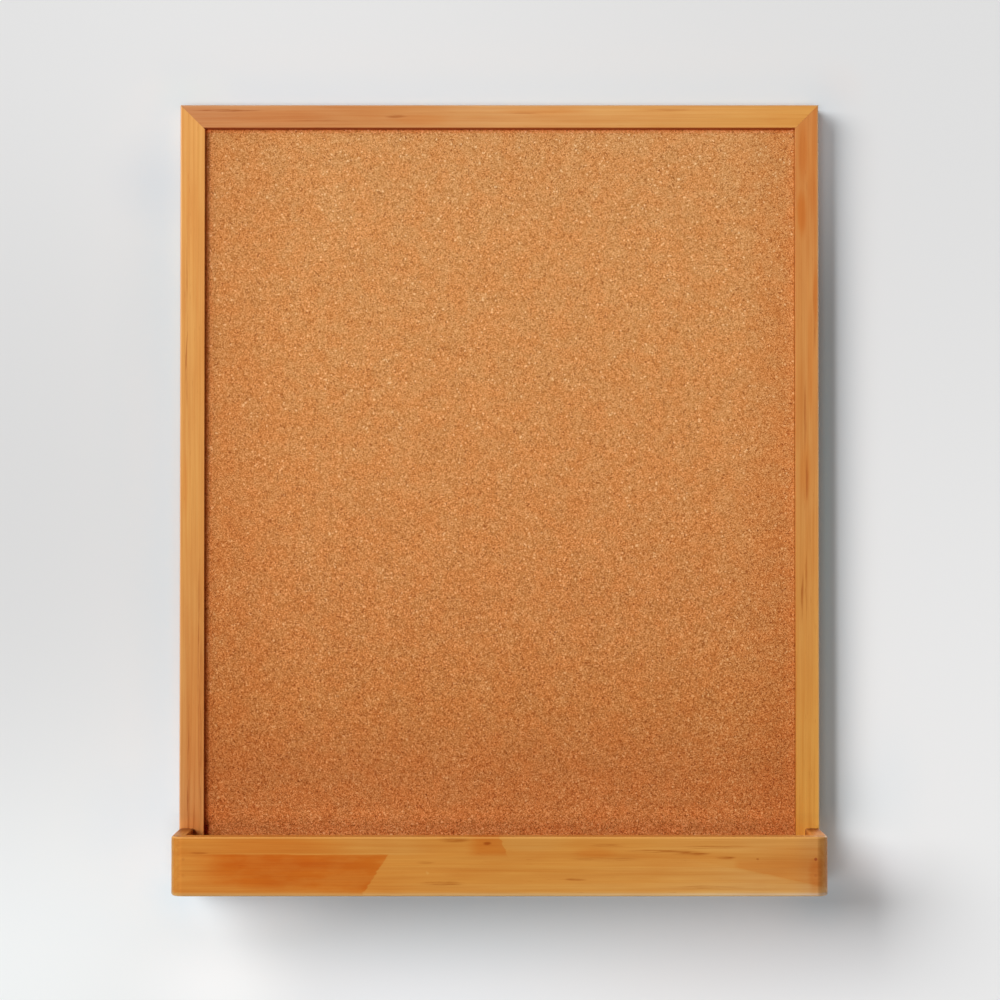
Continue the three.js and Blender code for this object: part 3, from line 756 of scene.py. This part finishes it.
warm_size, warm_shares, warm_tone = 0.013, (0.35, 0.65), (1.035, 0.945, 0.87)
warm_offset = 3.0
relief_size, speck_relief = 0.0013, 0.8
cork_bump = (0.0002, 0.6)


def refinish(name, material):
    """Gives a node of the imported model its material."""
    nodes[name].data.materials.clear()
    nodes[name].data.materials.append(material)


def cork():
    """Granules are cells with a shade each, of two sizes mixed, with a few of dark bark and a
    few pale ones. Their contrast grows towards the foot. The sheet gets darker and warmer
    towards its foot as painted shade, with painted light at the very foot, and warmer towards
    its sides. Its rims beside the lips are darker, as painted shade and at the right as a dark
    joint, with painted light in strips next to them."""
    sheet = Finish("cork")
    warp = sheet.noise(sheet.scaled(warp_size), result="Color")
    warp = sheet.node("VectorMath", {0: warp, 3: warp_reach}, operation="SCALE")

    def granules(size, result):
        vector = sheet.vector("ADD", sheet.scaled(size), warp)
        return sheet.node("TexVoronoi", {"Vector": vector, "Scale": 1.0}, result)

    def shade_of(size, channel):
        return sheet.node("SeparateColor", {0: granules(size, "Color")}, channel)

    speck = sheet.noise(sheet.scaled(speck_size), roughness=speck_roughness)
    shade = sheet.math("ADD", sheet.product(shade_of(coarse_size, 0), coarse_share),
                       sheet.product(shade_of(fine_size, 1), fine_share))
    shade = sheet.math("ADD", shade, sheet.product(speck, speck_share))
    down = sheet.progress(sheet.part(sheet.place, 2), lip_top, cork_visible_foot)
    contrast = sheet.rise(down, *cork_contrast)
    shade = sheet.product(sheet.math("SUBTRACT", shade, 0.5), contrast)
    colour = sheet.ramp(sheet.math("ADD", shade, 0.5), *cork_tones)
    odd = shade_of(odd_size, 2)
    colour = sheet.tint(sheet.rise(odd, *bark_shares), colour, bark_tone)
    colour = sheet.mix(sheet.rise(odd, *pale_shares), colour, pale_tone)

    colour = sheet.mix(1.0, colour, sheet.ramp(down, *cork_painted_shade_by_height), "MULTIPLY")
    for axis, start, end, tone in cork_rim_shade_and_light_tones:
        share = sheet.rise(sheet.part(sheet.place, axis), start, end)
        colour = sheet.tint(share, colour, tone)
    cloud = sheet.noise(sheet.scaled(cloud_size), cloud_detail)
    colour = sheet.tint(sheet.rise(cloud, *cloud_shares), colour, cloud_tone)
    warm = sheet.noise(sheet.scaled(warm_size, warm_offset))
    colour = sheet.tint(sheet.rise(warm, *warm_shares), colour, warm_tone)
    relief = sheet.math("SUBTRACT", sheet.product(speck, speck_relief),
                        granules(relief_size, "Distance"))
    return sheet.surface({
        "Base Color": colour,
        "Roughness": 0.92,
        "Specular IOR Level": 0.2,
        "Normal": sheet.bump(relief, *cork_bump),
    })


refinish("cork_sheet", cork())


# The panel behind the cork
# A soft fibreboard core, which the pins go into, and a hardboard back that closes the rabbet.

fleck_detail, fleck_share = (4.0, 0.65), 0.75
cloud_to_fleck = 30
fleck_strength = 0.6


def pressed_board(name, size, dark, pale, roughness, grit):
    """Pressed fibres: small flecks from dark to pale, over broader clouds."""
    board = Finish(name)
    fleck = board.noise(board.scaled(size), *fleck_detail)
    cloud = board.noise(board.scaled(size * cloud_to_fleck))
    share = board.math("ADD", board.product(fleck, fleck_share),
                       board.product(cloud, 1 - fleck_share))
    return board.surface({
        "Base Color": board.ramp(share, (0.3, dark), (0.7, pale)),
        "Roughness": board.rise(fleck, 0.3, 0.7, roughness, roughness + 0.15),
        "Specular IOR Level": 0.3,
        "Normal": board.bump(fleck, grit, fleck_strength),
    })


refinish("pin_core", pressed_board("fibreboard", 0.0008, 0x9C8A66, 0xCDBD98, 0.8, 0.0002))
refinish("back_panel", pressed_board("hardboard", 0.0011, 0x6E4A2C, 0xA87F55, 0.42, 0.00005))


# The panel points
# Flat zinc-plated points, pressed into the rabbet's wall, that keep the panel in.

for name in named("panel_point"):
    refinish(name, zinc_plate)


# The tray
# Pine boards, glued and nailed. The front board's upright corners are rounded and its ends
# rebated for the side boards, and a groove all round holds the tongues of the floor board.

side_low, side_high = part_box("tray_side_left")
tray_front, tray_foot, tray_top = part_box("tray_front")[0].y, side_low.z, side_high.z
tray_front_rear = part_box("tray_front")[1].y
glue_gap = 0.0003
rebate_rear = side_low.y - glue_gap
side_thickness = side_high.x - side_low.x
floor_low, floor_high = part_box("tray_floor")
floor_middle = (floor_low.z + floor_high.z) / 2
groove_half = 0.0023
groove_depth = 0.0043
corner_radius = 0.0085
tray_ease = 0.0015
tray_seam = 0.0001
corner_steps = 16
ease_rows = 9
side_rows = 9


def tray_front_grid():
    """Level rows of the front board's plan from its foot to its top. At an angle t of the
    rounded long edge, a row lies tray_ease * (1 - cos t) inside the end and is drawn in by
    tray_ease * (1 - sin t). In the groove's rows the rear line moves to the groove's floor."""
    t = np.linspace(0, np.pi / 2, ease_rows)
    rise = tray_ease * (1 - np.cos(t))
    drawn_in = tray_ease * (1 - np.sin(t))
    groove = floor_middle + groove_half * np.array([-1, -1, 1, 1])
    heights = np.concatenate([tray_foot + rise, groove, tray_top - rise[::-1]])
    inset = np.concatenate([drawn_in, np.zeros(4), drawn_in[::-1]])[:, None]
    worn = np.concatenate([np.sin(2 * t), np.zeros(4), np.sin(2 * t[::-1])])
    inner = board_right - side_thickness - tray_seam + 0 * inset
    rear = tray_front_rear - inset
    in_groove = slice(ease_rows + 1, ease_rows + 3)
    inner[in_groove] = board_right - side_thickness + groove_depth
    rear[in_groove] = tray_front_rear - groove_depth
    turn = np.linspace(-np.pi / 2, 0, corner_steps + 1)[None, :]
    reach = corner_radius - inset
    arc_x = board_right - corner_radius + reach * np.cos(turn)
    arc_y = tray_front + corner_radius + reach * np.sin(turn)
    half_x = np.hstack([arc_x, board_right - inset, inner, inner])
    half_y = np.hstack([arc_y, rebate_rear + 0 * inset, rebate_rear + 0 * inset, rear])
    x = np.hstack([half_x, -half_x[:, ::-1]])
    y = np.hstack([half_y, half_y[:, ::-1]])
    z = heights[:, None] + 0 * x
    on_front = np.zeros(half_x.shape[1])
    on_front[:corner_steps + 1] = 1
    roundness = worn[:, None] * np.concatenate([on_front, on_front[::-1]])
    return np.stack([x, y, z], axis=-1), roundness


def middle_of(name):
    """The x and z of a node's middle."""
    low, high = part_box(name)
    return (low.x + high.x) / 2, (low.z + high.z) / 2


tray_streaks = [
    (-0.031, -0.512, 0.014, 0.0024, 0.8),
    (-0.2085, -0.521, 0.008, 0.0014, 0.9),
    (-0.04, -0.5422, 0.02, 0.0022, 0.8),
    (-0.0515, -0.5278, 0.008, 0.0012, 0.8),
    (0.053, -0.5395, 0.01, 0.0012, 0.9),
    (0.074, -0.516, 0.016, 0.0014, 0.8),
    (0.133, -0.5215, 0.016, 0.002, 1.0),
    (0.156, -0.5243, 0.009, 0.0016, 1.0),
    (0.112, -0.5195, 0.03, 0.0016, 0.8),
    (0.15, -0.517, 0.03, 0.0016, 0.7),
    (0.075, -0.5255, 0.03, 0.002, 0.6),
    (0.14, -0.545, 0.04, 0.002, 0.5),
]
knots = [(-0.0087, -0.5145, 0.004, 0.0016, 0.9), (0.179, -0.5255, 0.0013, 0.001, 0.7)]
# Orange patches: a share, and the straight lines that cut the patch off. A line has a point's
# x and z, the turn to the side that the patch is on, and its softness
patch_tone = (0.89, 0.56, 0.24)
slanting_patch = [(-0.203, 0, 1, 0, 0.034), (-0.0785, -0.5243, -0.025, 0.0161, 0.0012),
                  (0, -0.5222, 0, -1, 0.001), (-0.12, -0.548, 0.05, 1, 0.009)]
short_patches = [
    (0.65, (-0.019, 0, 1, 0, 0.012), (0.0004, -0.511, -0.0126, -0.0056, 0.0008),
     (0, -0.5225, 0, 1, 0.005)),
    (0.38, (0.164, 0, 1, 0, 0.006), (0, -0.5262, 0, -1, 0.004),
     (0.1644, -0.5313, 0.0077, 0.0348, 0.0012)),
]
soft_patches = [
    (-0.15, -0.5285, 0.06, 0.008, 0.4),
    (-0.155, -0.5165, 0.06, 0.009, 0.42),
    (0.066, -0.5215, 0.02, 0.005, 0.4),
    (0.219, -0.537, 0.0065, 0.017, 0.5),
]
mottle_cells, mottle_shares = (0.028, 0.009, 31.7), (0.35, 0.62, 0.68, 0.98)
# Paler wood, in the same ways. Its tone also paints light on the front board's foot
pale_wood_and_painted_light_tone = (1.04, 1.22, 1.6)
above_the_patch = (0, -0.5222, 0, 1, 0.0006)
pale_above_patch = (-0.08, -0.516, 0.045, 0.02, 0.6)
pale_strips = [
    (0.3, above_the_patch, (0, -0.5212, 0, -1, 0.0008), (-0.19, 0, 1, 0, 0.03),
     (-0.07, 0, -1, 0, 0.02)),
    (0.3, (-0.06, 0, 1, 0, 0.05), (0, -0.5425, 0, -1, 0.005)),
    (0.27, (0.13, 0, 1, 0, 0.06), (0.1644, -0.5325, -0.0077, -0.0348, 0.002)),
    (0.34, (0.07, 0, 1, 0, 0.1), (0, -0.53, 0, -1, 0.012)),
]
pale_spots = [
    (0.022, -0.5135, 0.035, 0.009, 0.65),
    (0.15, -0.515, 0.075, 0.008, 0.4),
    (-0.0498, -0.5348, 0.0014, 0.0014, 0.9),
]
# The eased foot and the top are painted lighter, as the light that they catch, and the foot's
# edge has a bluish painted reflection: their lines, and the tones of foot and top
tray_front_face, tray_top_face = (-0.05, -0.35), (0.2, 0.8)
painted_light_foot_line, painted_light_foot_share = (0, -0.5488, 0, -1, 0.003), 0.7
foot_line, foot_tone = (0, -0.549, 0, -1, 0.0018), (0.95, 1.16, 1.9)
top_tone = (1.25, 1.3, 1.4)
# Painted light, shade and reflection on the two rounded ends, partly also end grain: the x
# where each starts, the side it lies on, its softness, whether only the front has it, and
# its tone
end_shade_and_light_tones = [
    (0.16, 1, 0.05, False, (0.955, 0.975, 1.08)),
    (0.21, 1, 0.02, False, (0.9, 0.91, 1.05)),
    (0.221, 1, 0.0014, False, (0.84, 0.8, 0.76)),
    (-0.2222, -1, 0.003, False, (0.8, 0.83, 0.74)),
    (0.2245, 1, 0.004, True, (1.6, 1.72, 1.95)),
    (-0.2266, -1, 0.0016, True, (1.0, 1.32, 2.3)),
]
# Filler over the brads, with shares from the left to the right and from the top down
filler_edge, filler_colour = (0.0013, 0.0009), linear(0x8E3E1C)
filler_shares = (0.15, 0.1, 0.8, 0.2)
brad_places = sorted(map(middle_of, named("tray_brad")), key=lambda at: (at[0] > 0, -at[1]))


def tray_figure(wood, colour, along):
    """The front board's own marks: orange patches, small dark streaks and knots, paler wood, and
    filler over the brads. Their outlines waver with the fibres. It also paints light on the top
    and the eased foot, a reflection on the foot's edge, and light, shade and reflection at the
    ends."""
    place = wavering(wood, along, 0, 0.0016, 0.005)
    mottle = wood.rise(wood.noise(along(*mottle_cells), *fine_detail), *mottle_shares)
    patches = [wood.beyond(mottle, place, *slanting_patch)]
    patches += [wood.beyond(share, place, *lines) for share, *lines in short_patches]
    patches += [wood.spot(place, *spot) for spot in soft_patches]
    for share in patches:
        colour = wood.tint(share, colour, patch_tone)
    colour = fibrous_marks(wood, colour, along, place, tray_streaks, mark_brown)
    for knot in knots:
        colour = wood.tint(wood.spot(place, *knot), colour, mark_brown)

    forward = wood.rise(wood.part(wood.normal, 1), *tray_front_face)
    upward = wood.rise(wood.part(wood.normal, 2), *tray_top_face)
    either = wood.math("MAXIMUM", forward, upward)
    lights = [
        wood.beyond(wood.spot(place, *pale_above_patch), place, above_the_patch),
        wood.product(forward, wood.beyond(painted_light_foot_share, place, painted_light_foot_line)),
    ]
    lights += [wood.beyond(share, place, *lines) for share, *lines in pale_strips]
    lights += [wood.spot(place, *spot) for spot in pale_spots]
    for share in lights:
        colour = wood.tint(share, colour, pale_wood_and_painted_light_tone)
    colour = wood.tint(upward, colour, top_tone)
    colour = wood.tint(wood.beyond(forward, wood.place, foot_line), colour, foot_tone)
    for x, turn, soft, front_only, tone in end_shade_and_light_tones:
        where = forward if front_only else either
        share = wood.beyond(where, wood.place, (x, 0, turn, 0, soft))
        colour = wood.tint(share, colour, tone)
    for (x, z), share in zip(brad_places, filler_shares):
        away = wood.vector("DISTANCE", wood.place, (x, tray_front, z), "Value")
        colour = wood.mix(wood.rise(away, *filler_edge, 0.0, share), colour, filler_colour)
    return colour


front_tones = [(0.0, 0xCF8638), (0.5, 0xCC8B3E), (1.0, 0xD39245)]
side_tones = [(0.0, 0xE2A258), (0.4, 0xD68E44), (1.0, 0xD68E44)]
# Painted shade on the side boards' upper and inner faces, darker towards the frame
side_painted_shades = [(0.4, (1.0, 1.0, 1.0)), (0.65, (0.679, 0.555, 0.436)),
               (1.0, (0.402, 0.267, 0.201))]
front_gloss, side_gloss = 0.4, 0.25
front_end_stain, front_wear_and_highlight = 0.25, 0.5


def tray_side(name, outer_x, inward, shift):
    """A side board: its section in x and z, carried from the frame to the rebate. Its upper and
    inner faces, whose normals have a dot product of 1 with inward + Z, have painted shade,
    darker towards the frame."""
    def shaded(wood, colour, along):
        share = wood.rise(wood.dot(wood.normal, inward + Z), *tray_top_face)
        depth = wood.progress(wood.part(wood.place, 1), rebate_rear, frame_front)
        return wood.mix(share, colour, wood.ramp(depth, *side_painted_shades), "MULTIPLY")

    height = tray_top - tray_foot
    low = floor_middle - groove_half - tray_foot
    high = floor_middle + groove_half - tray_foot
    groove_floor = side_thickness - groove_depth
    section, roundness = rounded(
        [(0, 0), (side_thickness, 0), (side_thickness, low), (groove_floor, low),
         (groove_floor, high), (side_thickness, high), (side_thickness, height), (0, height)],
        [tray_ease] * 2 + [crisp_ease] * 4 + [tray_ease] * 2)
    across, up = section.T[:, None, :, None]
    ends = np.linspace(rebate_rear + tray_seam, frame_front - tray_seam, side_rows)
    grid = (outer_x, 0, tray_foot) + across * inward + up * Z + ends[:, None, None] * Y
    material = pine("pine_" + name, 1, (rebate_rear, frame_front), side_tones,
                    (outer_x - 0.02 * inward[0], 0, -0.49), shift, shaded, gloss=side_gloss)
    board = piece_from_grid(name, grid, material, roundness)
    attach(board, "root")
    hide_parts(name)


front_grid, front_roundness = tray_front_grid()
front_pine = pine("pine_tray_front", 0, across_board, front_tones, (0, 0.03, -0.49), 41.7,
                  tray_figure, front_end_stain, front_wear_and_highlight, gloss=front_gloss)
front_board = piece_from_grid("tray_front", front_grid, front_pine, front_roundness)
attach(front_board, "root")
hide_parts("tray_front")
tray_side("tray_side_left", board_left, X, 52.3)
tray_side("tray_side_right", board_right, -X, 61.9)
refinish("tray_floor", pine("pine_tray_floor", 0, across_board, front_tones,
                            (0, -0.02, -0.5), 73.1))


# The tray's screws and brads
# Screws with a low raised head and a cross recess, driven through the frame from behind, and
# headless brads, under filler in the front board.

screw_length = 0.03
screw_tip = 0.004
screw_radius = 0.0015
screw_head_radius = 0.0026
screw_head_depth = 0.002
screw_head_rise = 0.0006
recess_reach = 0.0015
recess_half_width = 0.0004
recess_floor = 0.00008
dome_share, dome_steps = 0.92, 9
dome_inner = 1.08
# The recess's mouth and wall: shares of its reach and of the head's rise
recess_mouth, recess_wall, recess_foot = (1.0, 0.86), (0.94, 0.78), 0.78
turn_steps = 96
never_zero = 1e-9


def turned(name, profile, material, centre, shape=1.0):
    """A piece turned about a line along Y: pairs of a radius and a height above the seat. The
    point at a turn is centre + (radius * cos, height, radius * sin), and shape is a further
    factor of the radius, by row and turn."""
    radius, height = np.asarray(profile, float).T[:, :, None]
    turn = np.linspace(0, 2 * np.pi, turn_steps, endpoint=False)
    radius = radius * shape + 0 * turn
    grid = np.stack([radius * np.cos(turn), height + 0 * turn, radius * np.sin(turn)], axis=-1)
    piece = piece_from_grid(name, grid + centre, material)
    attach(piece, "root")
    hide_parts(name)


def tray_screw(name):
    """Shank, cone and head, with a recess in the shape of a cross. In a direction a, the cross
    reaches to the larger of min(L / |cos a|, w / |sin a|) and min(L / |sin a|, w / |cos a|), with
    L the arms' reach and w their half width. The recess's rows are that outline, scaled."""
    turn = np.linspace(0, 2 * np.pi, turn_steps, endpoint=False)
    cosine, sine = np.abs([np.cos(turn), np.sin(turn)]) + never_zero
    level = np.minimum(recess_reach / cosine, recess_half_width / sine)
    upright = np.minimum(recess_reach / sine, recess_half_width / cosine)
    cross = np.maximum(level, upright) / recess_reach
    t = np.linspace(0, dome_share, dome_steps) * math.pi / 2
    dome = [(screw_head_radius * math.cos(a), screw_head_rise * math.sin(a)) for a in t]
    dome = [(r, h) for r, h in dome if r > recess_reach * dome_inner]
    recess = [(recess_reach * r, screw_head_rise * h) for r, h in (recess_mouth, recess_wall)]
    profile = [(0, -screw_length), (screw_radius, screw_tip - screw_length),
               (screw_radius, -screw_head_depth), *dome, *recess,
               (recess_reach * recess_foot, recess_floor), (0, recess_floor)]
    shape = np.ones((len(profile), turn_steps))
    shape[-4:-1] = cross
    x, z = middle_of(name)
    turned(name, profile, zinc_plate, (x, frame_rear, z), shape)


for name in named("tray_screw"):
    tray_screw(name)
for name in named("tray_brad"):
    refinish(name, zinc_plate)


# The hangers
# Two brass-plated toothed strips on the top rail's back, each held by two flat-headed nails.

nail_length = 0.012
nail_tip = 0.0016
nail_radius = 0.0007
nail_head_radius = 0.0018
nail_head_side = 0.0003
nail_head_thickness = 0.0006
nail_head_steps = 7

brass_plate = plated("brass_plate", (0.78, 0.58, 0.27, 1), 0.26)
for name in ("hanger_left", "hanger_right"):
    refinish(name, brass_plate)


def hanger_nail(name):
    """A shank and a head whose top bulges: at a share s of its radius, the head's top is
    nail_head_side + (nail_head_thickness - nail_head_side) * sqrt(1 - s * s) high."""
    s = np.cos(np.linspace(0, np.pi / 2, nail_head_steps))
    top = nail_head_side + (nail_head_thickness - nail_head_side) * np.sqrt(1 - s * s)
    profile = [(0, -nail_length), (nail_radius, nail_tip - nail_length), (nail_radius, 0),
               (nail_head_radius, 0), *zip(nail_head_radius * s, top)]
    x, z = middle_of(name)
    seat_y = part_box(name)[1].y - nail_head_thickness
    turned(name, profile, brass_plate, (x, seat_y, z))


for name in named("hanger_nail"):
    hanger_nail(name)


# The wall pads
# Two discs of brown felt, glued behind the lower corners.

pad_ease = 0.0004
pad_ease_steps = 6
pad_glue_share, pad_middle_share = 0.98, 0.5
fibre_long, fibre_deep, fibre_short = 0.0009, 0.0003, 0.00025
felt_detail, crossing_offset = (5.0, 0.7), 7.0
felt_cloud, felt_cloud_tone = 0.002, (0.8, 0.78, 0.76)
felt_bump = (0.00015, 0.8)


def felt():
    """Matted fibres: a fine crossing grain over small clouds, and a soft sheen."""
    pad = Finish("felt")
    fibre = pad.noise(pad.scaled([fibre_long, fibre_deep, fibre_short]), *felt_detail)
    crossing = pad.scaled([fibre_short, fibre_deep, fibre_long], crossing_offset)
    crossing = pad.noise(crossing, *felt_detail)
    mat = pad.math("MAXIMUM", fibre, crossing)
    cloud = pad.noise(pad.scaled(felt_cloud))
    colour = pad.ramp(mat, (0.35, 0x4C3D30), (0.75, 0x84705C))
    return pad.surface({
        "Base Color": pad.tint(cloud, colour, felt_cloud_tone),
        "Roughness": 0.95,
        "Specular IOR Level": 0.1,
        "Sheen Weight": 0.3,
        "Normal": pad.bump(mat, *felt_bump),
    })


felt_finish = felt()
pad_turn = np.linspace(0, np.pi / 2, pad_ease_steps)
for name in named("wall_pad"):
    pad_low, pad_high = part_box(name)
    pad_radius = (pad_high.x - pad_low.x) / 2
    pad_thickness = pad_high.y - pad_low.y
    pad_profile = [(0, 0), (pad_radius * pad_glue_share, 0), (pad_radius, pad_ease),
                   *zip(pad_radius - pad_ease * (1 - np.cos(pad_turn)),
                        pad_thickness - pad_ease * (1 - np.sin(pad_turn))),
                   (pad_radius * pad_middle_share, pad_thickness), (0, pad_thickness)]
    pad_x, pad_z = middle_of(name)
    turned(name, pad_profile, felt_finish, (pad_x, pad_low.y, pad_z))
